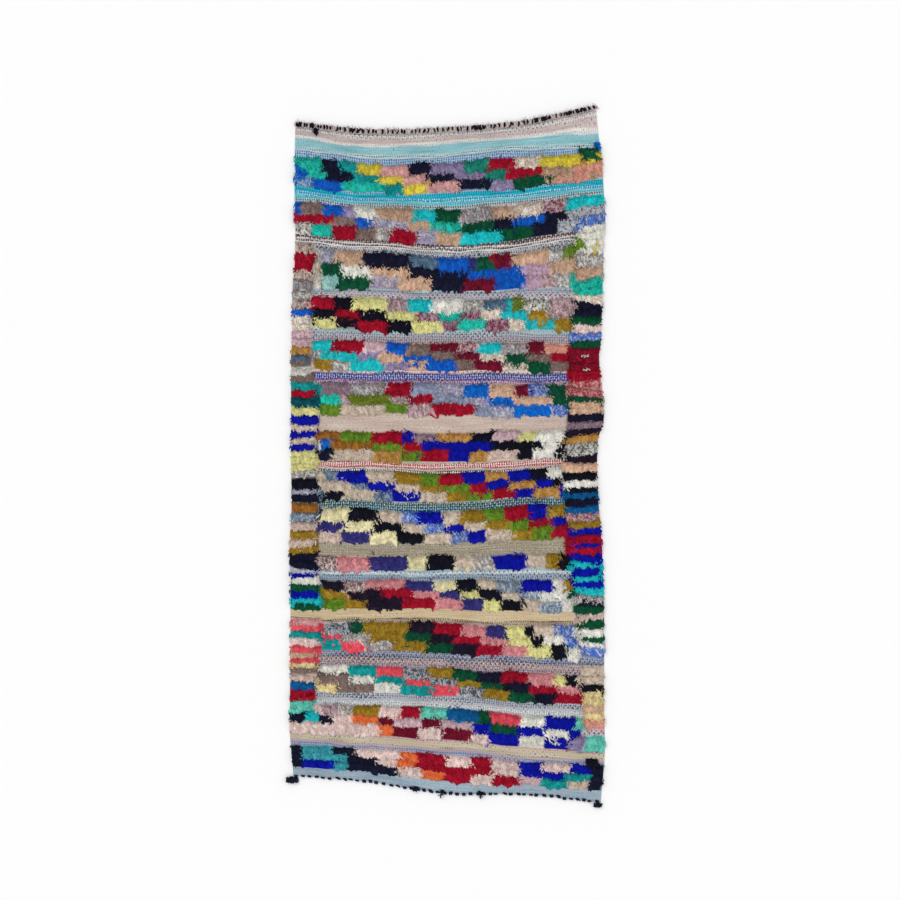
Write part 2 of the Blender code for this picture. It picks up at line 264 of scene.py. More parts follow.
# How wide the two borders are down the rug, in metres.
BorderWidth = namedtuple("BorderWidth", "at left right")
borderWidths = [
    BorderWidth(0.40, 0.078, 0.100),
    BorderWidth(0.85, 0.082, 0.115),
    BorderWidth(1.05, 0.100, 0.128),
    BorderWidth(1.60, 0.102, 0.122),
    BorderWidth(1.80, 0.114, 0.098),
    BorderWidth(2.18, 0.085, 0.075),
]
# Tufts that lie on flat weave, among other yarns or over an end: their middle, width and reach in metres.
LoneTuft = namedtuple("LoneTuft", "at across wide reach yarn")
loneTufts = [
    LoneTuft(2.300, 1.105, 0.045, 0.050, "black"),
    LoneTuft(0.462, 1.055, 0.034, 0.048, "green"),
    LoneTuft(0.474, 1.118, 0.020, 0.034, "yellow"),
    LoneTuft(0.468, 0.735, 0.014, 0.022, "crimson"),
    LoneTuft(0.010, 0.076, 0.020, 0.026, "black"),
    LoneTuft(0.829, 1.098, 0.022, 0.014, "white"),
    LoneTuft(0.882, 1.102, 0.026, 0.014, "white"),
    LoneTuft(0.117, 1.104, 0.066, 0.056, "darkGreen"),
    LoneTuft(0.086, 1.138, 0.022, 0.026, "azure"),
    LoneTuft(0.196, 0.022, 0.034, 0.034, "azure"),
    LoneTuft(2.444, 0.455, 0.018, 0.018, "navy"),
    LoneTuft(2.446, 0.556, 0.010, 0.020, "navy"),
    LoneTuft(2.444, 0.700, 0.010, 0.014, "navy"),
]

# The flat bands' stripes of weft, from the corded end. A stripe is its length in centimetres and
# two yarns, then how much of the second shows as dashes in step with the warp and as loose flecks,
# and how much it is sprinkled with dark specks.
Stripe = namedtuple("Stripe", "long yarn other dash fleck speck", defaults=(0,))
flatChart = [
    "1.4 heather cream 0 0.5 0.36, 1.6 heather pinkBeige 0 0.5 0.16, 1.2 white heather 0 0.35 0.12,"
        "1.8 paleBlue aqua 0 0.5 0.05, 1.2 aqua paleBlue 0 0.45 0.1, 0.6 white aqua 0 0.5,"
        "0.5 paleBlue greenDash 0.45 0.3 0.3, 0.4 white aqua 0 0.4, 2.1 blueDash paleBlue 0.6 0.4 0.15",
    "0.5 paleBlue blueDash 0.42 0.3, 1.6 turquoise blueDash 0.4 0.25 0.05,"
        "1.5 turquoiseDash white 0.34 0.3 0.1, 1.2 aqua turquoiseDash 0.45 0.3,"
        "1.2 paleGrey greenDash 0.42 0.35 0.3",
    "1.7 pinkBeige darkGrey 0.5 0.35 0.65, 0.3 white heather 0 0.3 0.1, 0.9 heather black 0.5 0.3 0.5,"
        "0.4 white heather 0 0.3 0.1, 0.7 darkGrey white 0.5 0.3 0.3, 0.8 paleGrey slateGrey 0.4 0.4 0.5",
    "0.8 paleGrey mintPale 0 0.5 0.4, 0.8 lavenderGrey slateGrey 0.3 0.4 0.4,"
        "1.4 lavenderGrey pinkBeige 0.3 0.45 0.4",
    "0.9 paleGrey mintPale 0.1 0.5 0.4, 1.2 paleGrey slateGrey 0.34 0.4 0.35,"
        "1.2 heather slateGrey 0.34 0.4 0.35, 0.8 pinkBeige slateGrey 0.1 0.5 0.3",
    "1.2 pinkLight maroon 0.3 0.3 0.35, 0.9 purple lavenderGrey 0.44 0.3 0.5,"
        "1.2 royalDash paleGrey 0.44 0.3 0.45, 0.9 purple lilac 0.46 0.35 0.5,"
        "0.6 palePink purple 0.4 0.4 0.3",
    "5.9 linen cream 0 0.2",
    "1.3 linen khaki 0.1 0.4 0.3, 0.8 redDash white 0.46 0.15 0.2, 0.4 redDash pinkLight 0.62 0.2,"
        "0.8 redDash pinkLight 0.46 0.15 0.2, 0.5 white taupe 0 0.4 0.2, 0.5 black white 0.5 0.25",
    "0.7 paleGrey greenDash 0.45 0.35 0.4, 1.8 greenDash paleGrey 0.4 0.3 0.4,"
        "0.8 darkTeal paleBlue 0.42 0.35 0.35",
    "4.4 khaki linen 0 0.3 0.2",
    "1.2 paleBlue slateGrey 0.25 0.3 0.3, 1.4 paleBlue white 0.2 0.5 0.35, 1.5 hemBlue slateGrey 0.4 0.3 0.4",
    "4.3 sand pinkBeige 0 0.3 0.05, 0.5 black sand 0.5 0.2, 0.4 linen taupe 0.2 0.5 0.2",
    "1.4 lavenderGrey slateGrey 0.35 0.35 0.5, 1.4 slateGrey heather 0.4 0.35 0.5,"
        "1.4 pinkBeige mauve 0.35 0.45 0.5, 1.4 mauve heather 0.35 0.45 0.4",
    "1.3 paleGrey slateGrey 0.42 0.3 0.35, 1.1 paleGrey slateGrey 0.42 0.3 0.45,"
        "0.9 paleGrey heather 0.1 0.5 0.2, 1.5 hemBlue white 0.1 0.5 0.15",
    "1.0 palePink redDash 0.4 0.3 0.3, 0.5 pinkBeige redDash 0.2 0.3 0.2,"
        "2.2 khakiPale pinkBeige 0.1 0.4 0.2, 0.5 khakiPale black 0.35 0.2 0.2,"
        "0.9 palePink lavenderGrey 0.3 0.4 0.2, 0.8 lavenderGrey blueDash 0.35 0.3 0.3",
    "4.4 hemBlue paleBlue 0 0.35",
]


def linear(colour):
    share = np.asarray(colour, float) / 255
    return np.where(share <= 0.04045, share / 12.92, ((share + 0.055) / 1.055) ** 2.4)


def curve(t, near, nearSlope, far, farSlope):
    # from one value to the next, with these slopes at the two ends
    return ((2 * t ** 3 - 3 * t ** 2 + 1) * near + (t ** 3 - 2 * t ** 2 + t) * nearSlope
            + (3 * t ** 2 - 2 * t ** 3) * far + (t ** 3 - t ** 2) * farSlope)


def ripple(waves, across, down=0):
    # waves added up, each with its size, its pace across and down the rug, and its start
    return sum(size * np.sin(acrossPace * across + downPace * down + start)
               for size, acrossPace, downPace, start in waves)


def readTable(table, name, wanted):
    # a smooth curve through one column of a table, the same as the solid's
    places = np.array([row.at for row in table])
    values = np.array([getattr(row, name) for row in table])
    order = np.arange(len(places))
    before = np.maximum(order - 1, 0)
    after = np.minimum(order + 1, len(places) - 1)
    slope = (values[after] - values[before]) / (places[after] - places[before])
    wanted = np.clip(wanted, places[0], places[-1])
    low = np.clip(np.searchsorted(places, wanted, side="right") - 1, 0, len(places) - 2)
    width = places[low + 1] - places[low]
    return curve((wanted - places[low]) / width, values[low], width * slope[low],
                 values[low + 1], width * slope[low + 1])


def clothPlan(at, across):
    # world x and y of a place on the cloth: metres down the rug, share of its width
    at, across = np.broadcast_arrays(np.asarray(at, float), np.asarray(across, float))
    left = readTable(sideTable, "left", at)
    right = readTable(sideTable, "right", at)
    names = ("left", "quarter", "middle", "threeQuarter", "right")
    stray = np.stack([readTable(driftTable, name, at) for name in names])
    last = len(names) - 1
    place = np.clip(across, 0, 1) * last
    low = np.clip(place.astype(int), 0, last - 1)

    def level(index):
        return np.take_along_axis(stray, index[None], 0)[0]

    def slope(index):
        before = np.maximum(index - 1, 0)
        after = np.minimum(index + 1, last)
        return (level(after) - level(before)) / (after - before)

    drift = curve(place - low, level(low), slope(low), level(low + 1), slope(low + 1))
    fade = np.clip(np.minimum(at, rugLength - at) / swayFade, 0, 1)
    x = originX + left + across * (right - left)
    y = originY - at + drift + fade * ripple(swayWaves, across, at)
    return x, y


# Node trees

class Wire:
    # a node's output, on which sums can be written
    def __init__(self, finish, socket):
        self.finish = finish
        self.socket = socket

    def calc(self, operation, *values):
        return self.finish.node("ShaderNodeMath", {"operation": operation}, dict(enumerate(values)))

    def sine(self):
        return self.calc("SINE", self)

    def floor(self):
        return self.calc("FLOOR", self)

    def clip(self):
        return self.finish.node("ShaderNodeClamp", {}, {"Value": self})


def overload(sign, operation):
    # an operator, and its reflected form for a number on the left
    setattr(Wire, f"__{sign}__", lambda self, other: self.calc(operation, self, other))
    setattr(Wire, f"__r{sign}__", lambda self, other: self.calc(operation, other, self))


for sign, operation in (("add", "ADD"), ("sub", "SUBTRACT"), ("mul", "MULTIPLY"), ("truediv", "DIVIDE")):
    overload(sign, operation)


class Finish:
    # a material and the one way in which its nodes are made
    def __init__(self, name, **fixed):
        self.material = bpy.data.materials.new(name)
        self.material.use_nodes = True
        self.tree = self.material.node_tree
        self.shader = self.tree.nodes["Principled BSDF"]
        self.shade(**fixed)

    def feed(self, socket, value):
        if isinstance(value, Wire):
            self.tree.links.new(value.socket, socket)
        else:
            socket.default_value = value

    def node(self, kind, settings, inputs, output=0):
        made = self.tree.nodes.new(kind)
        for key, value in settings.items():
            setattr(made, key, value)
        for key, value in inputs.items():
            self.feed(made.inputs[key], value)
        return Wire(self, made.outputs[output])

    def attribute(self, name, output="Color"):
        return self.node("ShaderNodeAttribute", {"attribute_name": name}, {}, output)

    def mix(self, factor, first, second, blend="MIX"):
        settings = {"data_type": "RGBA", "blend_type": blend}
        return self.node("ShaderNodeMix", settings, {0: factor, 6: first, 7: second}, 2)

    def toned(self, colour, tone, factor):
        # lighter and darker by a tone, where 0.5 changes nothing
        grey = self.node("ShaderNodeCombineColor", {}, {0: tone, 1: tone, 2: tone})
        return self.mix(factor, colour, grey, "SOFT_LIGHT")

    def noise(self, place, scale, detail):
        return self.node("ShaderNodeTexNoise", {}, {"Vector": place, "Scale": scale, "Detail": detail}, "Fac")

    def bump(self, height, strength, distance):
        return self.node("ShaderNodeBump", {}, {"Height": height, "Strength": strength, "Distance": distance})

    def shade(self, **inputs):
        for key, value in inputs.items():
            self.feed(self.shader.inputs[key.replace("_", " ")], value)
        return self.material


weave = {
    "warp": 0.0086,          # from one pair of warps to the next, along a weft
    "cell": 0.0096,          # the same down the rug, where wefts show in pairs
    "weft": 0.0032,
    # noises: pace across and down the rug, detail and start
    "streak": (7, 240, 1.0, 0),
    "slub": (120, 260, 3.0, 0),
    "speckle": (170, 240, 2.0, 9),
    "drift": (6, 30, 2.0, 0),
    # the second yarn: how much its places follow the cells and the slubs, and how sharp they are
    "dash": (1.0, 3.2, 2.5),
    "fleck": (0.8, 4.5, 1.4),
    "shareSpan": 3.6,        # how much a stripe's own share of dashes or flecks counts
    "cells": (0.65, 0.4),    # how much columns and rows make a cell
    # dark specks: how much they follow speckle, drift and checks, their share's part, level and sharpness
    "speck": (4.5, 3, 0.9, 2.2, 1.4, 3),
    "speckColour": (0.02, 0.02, 0.04, 1),
    "speckCover": 0.85,
    "toneCover": 0.7,
    "bump": (0.7, 0.0014),
}


def rugFinish():
    # the flat weave: two wefts in cells between the warps, with slubs along them and dark specks
    look = weave
    finish = Finish("weave", Roughness=0.95, Specular_IOR_Level=0.1)
    place = finish.node("ShaderNodeUVMap", {"uv_map": "weave"}, {})
    across = finish.node("ShaderNodeSeparateXYZ", {}, {0: place}, "X")
    along = finish.node("ShaderNodeSeparateXYZ", {}, {0: place}, "Y")

    def field(name):
        acrossPace, alongPace, detail, start = look[name]
        inputs = {0: across * acrossPace + start, 1: along * alongPace + start}
        return finish.noise(finish.node("ShaderNodeCombineXYZ", {}, inputs), 1.0, detail) - 0.5

    streak = field("streak")
    slub = field("slub")
    speckle = field("speckle")
    drift = field("drift")
    column = across * (2 * math.pi / look["warp"]) + drift * 7 + streak * 2
    row = along * (2 * math.pi / look["cell"]) + drift * 5
    columnPart, rowPart = look["cells"]
    cells = column.sine() * columnPart + row.sine() * rowPart
    checks = (column * 0.5).sine() * (row * 0.5).sine()

    def shown(name):
        cellPart, slubPart, sharp = look[name]
        level = (finish.attribute(name, "Fac") - 0.5) * look["shareSpan"]
        return ((level - cells * cellPart + slub * slubPart) * sharp + 0.5).clip()

    share = 1 - (1 - shown("dash")) * (1 - shown("fleck"))
    colour = finish.mix(share, finish.attribute("yarnMain"), finish.attribute("yarnOther"))
    specklePart, driftPart, checkPart, speckPart, level, sharp = look["speck"]
    specks = speckle * specklePart + drift * driftPart + checks * checkPart
    specks = ((specks + finish.attribute("speck", "Fac") * speckPart - level) * sharp).clip()
    colour = finish.mix(specks * look["speckCover"], colour, look["speckColour"])
    tone = (streak + slub * 0.9 + drift * 0.8 + 0.5).clip()
    colour = finish.toned(colour, tone, look["toneCover"])
    over = (column + (along / look["weft"]).floor() * math.pi).sine() * 0.5 + 0.5
    picks = (along * (2 * math.pi / look["weft"])).sine() * 0.5 + 0.5
    relief = over * 0.5 + picks * 0.4 + slub
    return finish.shade(Base_Color=colour, Normal=finish.bump(relief, *look["bump"]))


def yarnFinish(name, fibre, strength):
    # teased rag: the yarn's own colour, and fine fibres in its roughness and bump
    finish = Finish(name, Specular_IOR_Level=0.1)
    spot = finish.node("ShaderNodeTexCoord", {}, {}, "Object")
    grain = finish.noise(spot, fibre, 2.0)
    colour = finish.toned(finish.attribute("yarn"), (grain - 0.5) * 0.9 + 0.5, weave["toneCover"])
    return finish.shade(Base_Color=colour, Roughness=0.85 + grain * 0.15,
                        Normal=finish.bump(grain, strength, 0.001))


# Meshes

def addMesh(name, verts, loops, sizes, material):
    mesh = bpy.data.meshes.new(name)
    mesh.vertices.add(len(verts))
    mesh.vertices.foreach_set("co", np.ascontiguousarray(verts, np.float32).ravel())
    mesh.loops.add(len(loops))
    mesh.loops.foreach_set("vertex_index", np.ascontiguousarray(loops, np.int32))
    starts = np.concatenate(([0], np.cumsum(sizes)[:-1]))
    mesh.polygons.add(len(sizes))
    mesh.polygons.foreach_set("loop_start", np.ascontiguousarray(starts, np.int32))
    mesh.update(calc_edges=True)
    mesh.validate()
    mesh.materials.append(material)
    mesh.shade_smooth()
    piece = bpy.data.objects.new(name, mesh)
    scene.collection.objects.link(piece)
    return piece


def addUv(piece, name, uv):
    layer = piece.data.uv_layers.new(name=name)
    layer.data.foreach_set("uv", np.ascontiguousarray(uv, np.float32).ravel())


def addColour(piece, name, colours):
    layer = piece.data.attributes.new(name, "FLOAT_COLOR", "POINT")
    full = np.concatenate((colours, np.ones((len(colours), 1))), axis=1)
    layer.data.foreach_set("color", np.ascontiguousarray(full, np.float32).ravel())


def addShare(piece, name, values):
    layer = piece.data.attributes.new(name, "FLOAT", "POINT")
    layer.data.foreach_set("value", np.ascontiguousarray(values, np.float32))


# The tubes' part of the bake's map: how high a patch's caps are, and where its side begins.
patchCap = 0.12
patchSide = 0.14


def tubeFaces(rings, sides, pointed):
    # one tube's faces as vertex numbers, with each corner's place in the tube's patch of the map
    faces = []
    places = []
    last = rings - 1

    def level(ring):
        return patchSide + (1 - patchSide) * ring / last

    for ring in range(last):
        for side in range(sides):
            beyond = (side + 1) % sides
            low, high = level(ring), level(ring + 1)
            near, far = side / sides, (side + 1) / sides
            if pointed and ring == last - 1:
                faces.append((ring * sides + side, ring * sides + beyond, last * sides))
                places.append(((near, low), (far, low), ((near + far) / 2, high)))
            else:
                faces.append((ring * sides + side, ring * sides + beyond,
                              (ring + 1) * sides + beyond, (ring + 1) * sides + side))
                places.append(((near, low), (far, low), (far, high), (near, high)))
    ends = [(0, 0.25, -1)] if pointed else [(0, 0.25, -1), (last, 0.75, 1)]
    for ring, middle, turn in ends:
        order = range(sides)[::turn]
        angles = [2 * math.pi * side / sides for side in order]
        faces.append(tuple(ring * sides + side for side in order))
        places.append(tuple((middle + 0.2 * math.cos(angle), patchCap * (0.5 + 0.45 * math.sin(angle)))
                            for angle in angles))
    return faces, places


def tubeSet(paths, wide, flat, colours, sides=3, beside=None):
    # like tubes with the same rings: paths is tubes x rings x 3. Those with three sides end in a point.
    count, rings = paths.shape[:2]
    pointed = sides == 3
    run = np.gradient(paths, axis=1)
    run /= np.linalg.norm(run, axis=2, keepdims=True)
    if beside is None:
        chord = paths[:, -1:] - paths[:, :1]
        beside = np.stack((chord[..., 1], -chord[..., 0], 0 * chord[..., 0]), axis=2)
    upward = np.cross(np.broadcast_to(beside, paths.shape), run)
    upward /= np.linalg.norm(upward, axis=2, keepdims=True)
    beside = np.cross(run, upward)
    turn = np.pi / 2 - 2 * np.pi * np.arange(sides) / sides
    wide = np.broadcast_to(wide, paths.shape[:2])[:, :, None]
    verts = (paths[:, :, None]
             + beside[:, :, None] * (wide / 2 * np.cos(turn))[..., None]
             + upward[:, :, None] * (wide * flat / 2 * np.sin(turn))[..., None])
    verts = verts.reshape(count, rings * sides, 3)
    colours = np.broadcast_to(colours, paths.shape)
    shades = np.repeat(colours[:, :, None], sides, axis=2).reshape(count, rings * sides, 3)
    if pointed:
        keep = (rings - 1) * sides
        verts = np.concatenate((verts[:, :keep], paths[:, -1:]), axis=1)
        shades = np.concatenate((shades[:, :keep], colours[:, -1:]), axis=1)
    return verts, shades, *tubeFaces(rings, sides, pointed)


def addTubes(name, sets, material, felts=()):
    # one piece of felts and of sets of tubes, with a strip of the map for each felt, a patch for each tube
    cells = math.ceil(math.sqrt(sum(len(verts) for verts, shades, faces, places in sets)))
    feltPart = 0.5 if felts else 0.0
    allVerts, allShades, allLoops, allSizes, allUv = [], [], [], [], []
    tube = 0
    base = 0
    for verts, shades, faces, places in [*felts, *sets]:
        count, perTube = verts.shape[:2]
        single = np.array([corner for face in faces for corner in face])
        allLoops.append((base + single[None] + perTube * np.arange(count)[:, None]).ravel())
        allSizes.append(np.tile([len(face) for face in faces], count))
        allVerts.append(verts.reshape(-1, 3))
        allShades.append(shades.reshape(-1, 3))
        patch = np.array([place for face in places for place in face])
        if len(allVerts) <= len(felts):
            strip = len(allVerts) - 1 + 0.05 + 0.9 * patch[:, 0]
            allUv.append(np.stack((patch[:, 1], strip * feltPart / len(felts)), axis=1))
        else:
            number = tube + np.arange(count)
            corner = np.stack((number % cells, number // cells), axis=1)
            spread = (patch[None] * 0.84 + 0.08 + corner[:, None]) / cells
            allUv.append((spread * (1, 1 - feltPart) + (0, feltPart)).reshape(-1, 2))
            tube += count
        base += count * perTube
    joined = [np.concatenate(parts) for parts in (allVerts, allLoops, allSizes)]
    piece = addMesh(name, *joined, material)
    addColour(piece, "yarn", np.concatenate(allShades))
    addUv(piece, "OFBake", np.concatenate(allUv))
    print(name, len(joined[0]), "points")
    return piece


# Reading the chart

yarnNames = list(yarns) + list(mottles)


def readOrder(order):
    # yarn numbers, with None for bare cloth, and where each one ends in metres
    words = [item.split() for item in order.split(",")]
    numbers = [yarnNames.index(name) if name in yarnNames else None for name, wide in words]
    return numbers, np.cumsum([float(wide) / 100 for name, wide in words])


def yarnShades(near, far):
    # one colour for every yarn: a mottled one keeps a little of its far colour
    plain = [linear(yarns[name]) for name in yarns]
    mixed = [0.88 * linear(yarns[rag[near]]) + 0.12 * linear(yarns[rag[far]]) for rag in mottles.values()]
    return np.array(plain + mixed)


mainColour = yarnShades(0, 1)
otherColour = yarnShades(1, 0)
otherShare = np.array([0.0] * len(yarns) + [rag[2] for rag in mottles.values()])


pile = {
    "knotGap": 0.0105,        # between knots along a row
    "knotStray": 0.0025,
    "blockStray": 0.006,      # of the edge between two yarns
    "reach": 0.46,            # how far tufts lie down the rug, as a share of their band
    "lastReach": 0.425,       # the same for a band's last row
    "shortReach": 0.050,      # in the band with one row, in metres
    "start": 0.005,           # bare weave above a band's first row
    "rowStep": 0.275,         # from one row of knots to the next, as a share of the band
    "inset": 0.0005,          # from the cloth's sides
    "pastSide": 0.003,        # how far threads may reach over them
    "root": 0.0045,
    "crest": 0.0140,
    "tip": 0.0095,            # how high tips lie on the next row, and on flat weave
    "lastTip": 0.0064,
    "lowest": 0.002,
    "wave": 0.0034,           # how far a row of knots strays
    "lean": 0.16,
    "waves": ((0.6, 9), (0.5, 31), (0.5, 83), (0.5, 190)),
    # what differs from one block of a yarn to the next, and from knot to knot
    "shift": (0.0024, 0.0012),
    "stretch": (0.10, 0.07),
    "swell": (0.0010, 0.0008),
    "tone": (0.05, 0.03),
    "turn": 0.10,
    "gain": 1.06,             # open yarn is lighter than pile looks
    "rootPaintedShade": (0.28, 0.3), # painted shade: how much darker tufts are at their roots, under the row above, and how far up
}
# The felt under the threads. Places are shares of the reach, over its top and then underneath.
felt = {
    "columns": 2,             # to a knot
    "places": (0, 0.12, 0.34, 0.60, 0.84, 1.0),
    "under": (0.95, 0.05),
    "uneven": 0.03,
    "thick": 0.0045,          # at its tip
    "rough": 0.0013,          # lumps
    "fringe": 0.0034,
    "end": 0.001,             # how high its ends lie, which close over some columns
    "endColumns": 3,
    "blend": 0.006,           # how far yarns stray over the edge of a block
    "tone": 0.06,
}
# The short threads on the felt. Begin and part are shares of the knot's reach, stray is each one's own turn.
thread = {
    "each": 9, "wide": (0.0030, 0.0058), "flat": 0.55, "spread": 0.0075, "above": (-0.0006, 0.0018),
    "begin": (-0.12, 0.70), "part": (0.20, 0.42), "stray": 0.85, "lift": 0.0014, "lowest": 0.12,
    "steps": (0, 0.55, 1), "taper": (0.75, 1.0, 0.3), "tone": 0.08,
}
# The side borders: where each begins and ends down the rug, where their chart begins, and their rows.
border = {
    "left": (0.445, 2.15), "right": (0.385, 2.185), "from": 0.40,
    "pitch": 0.026, "early": -0.005, "ragged": 0.010, "slope": 0.09, "reach": 0.034,
}
lone = (0.003, 3)             # how much higher lone tufts lie, and how much less evenly


def tuftHeight(place, crest, tip):
    # how high a tuft lies at these shares of its reach
    rising = np.sin(np.clip(place / 0.35, 0, 1) * np.pi / 2)
    falling = np.clip((place - 0.45) / 0.55, 0, 1.1) ** 1.6
    return pile["root"] + (crest - pile["root"]) * rising - (crest - tip) * falling


def tuftPaintedShade(place):
    # painted shade: how light a tuft is at these shares of its reach, darker towards its root under the row
    # above
    darker, up = pile["rootPaintedShade"]
    return 1 - darker * np.clip(1 - place / up, 0, 1)


def yarnColours(yarn, tone):
    # a colour for each of these: mottled rags turn to their other one here and there
    mixed = random.uniform(0, 1, yarn.shape) < otherShare[yarn]
    colours = np.where(mixed[..., None], otherColour[yarn], mainColour[yarn])
    return np.clip(colours * pile["gain"] * tone[..., None], 0, 0.95)


def onCloth(down, across, high, past=0.0):
    inside = np.clip(across, -past, plainWidth + past)
    x, y = clothPlan(down, inside / plainWidth)
    return np.stack((x, y, np.maximum(high, pile["lowest"])), axis=-1)


def layFelt(row):
    # the thick of a row of tufts: a closed form across the rug
    look = felt
    knots = len(row["spot"])
    within = (np.arange(look["columns"]) + 0.5) / look["columns"] - 0.5
    own = {key: np.repeat(values, look["columns"])[:, None] for key, values in row.items()}
    spot = own["spot"] + pile["knotGap"] * np.tile(within, knots)[:, None]
    count = len(spot)
    places = random.uniform(-look["uneven"], look["uneven"], (count, len(look["places"]))) + look["places"]
    reach = own["reach"] + random.normal(0, look["fringe"], (count, 1))
    high = tuftHeight(places, own["crest"], own["tip"]) + random.normal(0, look["rough"], places.shape)
    under = np.stack((high[:, -1] - look["thick"], high[:, 0] - look["thick"] / 2), axis=1)
    high = np.concatenate((high, under), axis=1)
    places = np.concatenate((places, np.tile(look["under"], (count, 1))), axis=1)
    fromEnd = np.minimum(np.arange(count), np.arange(count)[::-1])
    ease = np.clip((fromEnd + 1) / look["endColumns"], 0, 1)[:, None]
    high = look["end"] + (high - look["end"]) * ease + own["lift"]
    verts = onCloth(own["at"] + reach * places, spot + reach * places * np.sin(own["lean"]), high)
    seen = spot + random.uniform(-look["blend"], look["blend"], high.shape)
    nearest = np.clip(np.searchsorted(row["spot"], seen), 0, knots - 1)
    # the tone holds each knot's own tone and painted shade towards the tufts' roots
    tone = own["tone"] * (1 + random.normal(0, look["tone"], high.shape)) * tuftPaintedShade(places)
    shades = yarnColours(row["yarn"][nearest], tone)
    return verts.reshape(1, -1, 3), shades.reshape(1, -1, 3), *tubeFaces(count, high.shape[1], False)


def layThreads(knots):
    look = thread
    own = {key: np.repeat(values, look["each"])[:, None] for key, values in knots.items()}
    size = own["spot"].shape
    t = np.array(look["steps"], float)
    start = own["spot"] + random.uniform(-1, 1, size) * look["spread"]
    begin = random.uniform(*look["begin"], size)
    part = random.uniform(*look["part"], size)
    stray = random.normal(0, 1, size) * look["stray"]
    place = begin + part * np.cos(stray) * t
    across = start + own["reach"] * (place * np.sin(own["lean"]) + part * np.sin(stray) * t)
    high = tuftHeight(np.maximum(place, look["lowest"]), own["crest"], own["tip"])
    high = high + random.uniform(*look["above"], size) + look["lift"] * np.sin(np.pi * t) + own["lift"]
    wide = random.uniform(*look["wide"], size) * np.array(look["taper"])
    # the tone holds each knot's own tone and painted shade towards the tufts' roots
    tone = own["tone"] * (1 + random.normal(0, look["tone"], size)) * tuftPaintedShade(place)
    shades = yarnColours(np.repeat(own["yarn"], len(t), axis=1), tone)
    return tubeSet(onCloth(own["at"] + own["reach"] * place, across, high, pile["pastSide"]),
                   wide, look["flat"], shades)


def rowWave(places, size):
    # how far a row strays from its line
    starts = random.uniform(0, 2 * np.pi, len(pile["waves"]))
    waves = [(share, pace, 0, start) for (share, pace), start in zip(pile["waves"], starts)]
    return size * ripple(waves, places)


def evenly(low, high, count):
    return low + (high - low) * (np.arange(count) + 0.5) / count


def knotRow(spot, at, yarn, reach, tip, lift=0.0, uneven=1):
    # a row's knots: each block of one yarn has its own small differences, and so does each knot
    look = pile
    block = np.cumsum(np.diff(yarn, prepend=yarn[0]) != 0)
    shift, stretch, turn, shade, swell = random.normal(0, 1, (5, block.max() + 1))[:, block]

    def differ(name, blocks, more=1):
        perBlock, perKnot = look[name]
        return perBlock * blocks + random.normal(0, perKnot * more, len(spot))

    return {
        "spot": spot,
        "at": at + rowWave(spot, look["wave"]) + differ("shift", shift, uneven),
        "yarn": yarn,
        "reach": reach * (1 + differ("stretch", stretch, uneven)),
        "tip": np.full(len(spot), tip),
        "crest": look["crest"] + differ("swell", swell),
        "lean": rowWave(spot, look["lean"]) + look["turn"] * turn,
        "tone": 1 + differ("tone", shade),
        "lift": np.full(len(spot), lift),
    }


def borderSpan(at, side):
    # how far in from its side a border reaches at this length
    begin, end = border[side]
    return float(readTable(borderWidths, side, at)) if begin < at < end else 0.0


def pileRows(number):
    # the knots of every band's first, second or third row
    look = pile
    rows = []
    pileBands = [(start, band) for start, band in zip(bandStarts, bands) if band.rows]
    for (start, band), runs in zip(pileBands, pileChart):
        for run in runs:
            if number not in run.rows:
                continue
            last = number == band.rows
            reach = look["lastReach" if last else "reach"] * band.length
            reach = reach if band.rows > 1 else look["shortReach"]
            at = start + (number - 1) * look["rowStep"] * band.length + look["start"]
            left = borderSpan(at, "left")
            right = plainWidth - borderSpan(at, "right")
            left += random.uniform(-1, 1) * border["ragged"] if left else look["inset"]
            right += random.uniform(-1, 1) * border["ragged"] if right < plainWidth else -look["inset"]
            spot = evenly(left, right, int((right - left) / look["knotGap"]))
            spot = spot + random.uniform(-look["knotStray"], look["knotStray"], len(spot))
            yarn, ends = readOrder(run.order)
            ends = ends - (len(run.rows) - 1 - run.rows.index(number)) * run.step / 100
            ends = ends + random.uniform(-look["blockStray"], look["blockStray"], len(ends))
            yarn = np.array(yarn)[np.clip(np.searchsorted(ends, spot), 0, len(yarn) - 1)]
            rows.append(knotRow(spot, at, yarn, reach, look["lastTip" if last else "tip"]))
    return rows


def borderRows(side, order):
    look = border
    inset = pile["inset"]
    yarn, ends = readOrder(order)
    rows = []
    for number, end, begin in zip(yarn, ends, np.concatenate(([0], ends[:-1]))):
        count = max(1, round((end - begin) / look["pitch"]))
        for row in range(count):
            at = look["from"] + begin + (end - begin) * row / count + look["early"]
            if number is None or not look[side][0] < at < look[side][1]:
                continue
            span = borderSpan(at, side) + random.uniform(-1, 1) * look["ragged"]
            spot = evenly(inset, span, int((span - inset) / pile["knotGap"]))
            at = at + random.normal(0, look["slope"]) * (spot - span / 2)
            if side == "right":
                spot = plainWidth - spot[::-1]
            rows.append(knotRow(spot, at, np.full(len(spot), number), look["reach"], pile["tip"]))
    return rows


def loneRows():
    rows = []
    for tuft in loneTufts:
        count = max(2, round(tuft.wide / pile["knotGap"]))
        spot = evenly(tuft.across - tuft.wide / 2, tuft.across + tuft.wide / 2, count)
        yarn = np.full(count, yarnNames.index(tuft.yarn))
        at = tuft.at - tuft.reach / 2
        rows.append(knotRow(spot, at, yarn, tuft.reach, pile["tip"], *lone))
    return rows


def addTufts(name, rows, material):
    knots = {key: np.concatenate([row[key] for row in rows]) for key in rows[0]}
    piece = addTubes(name, [layThreads(knots)], material, [layFelt(row) for row in rows])
    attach(piece, "root")
    return piece


# The ground

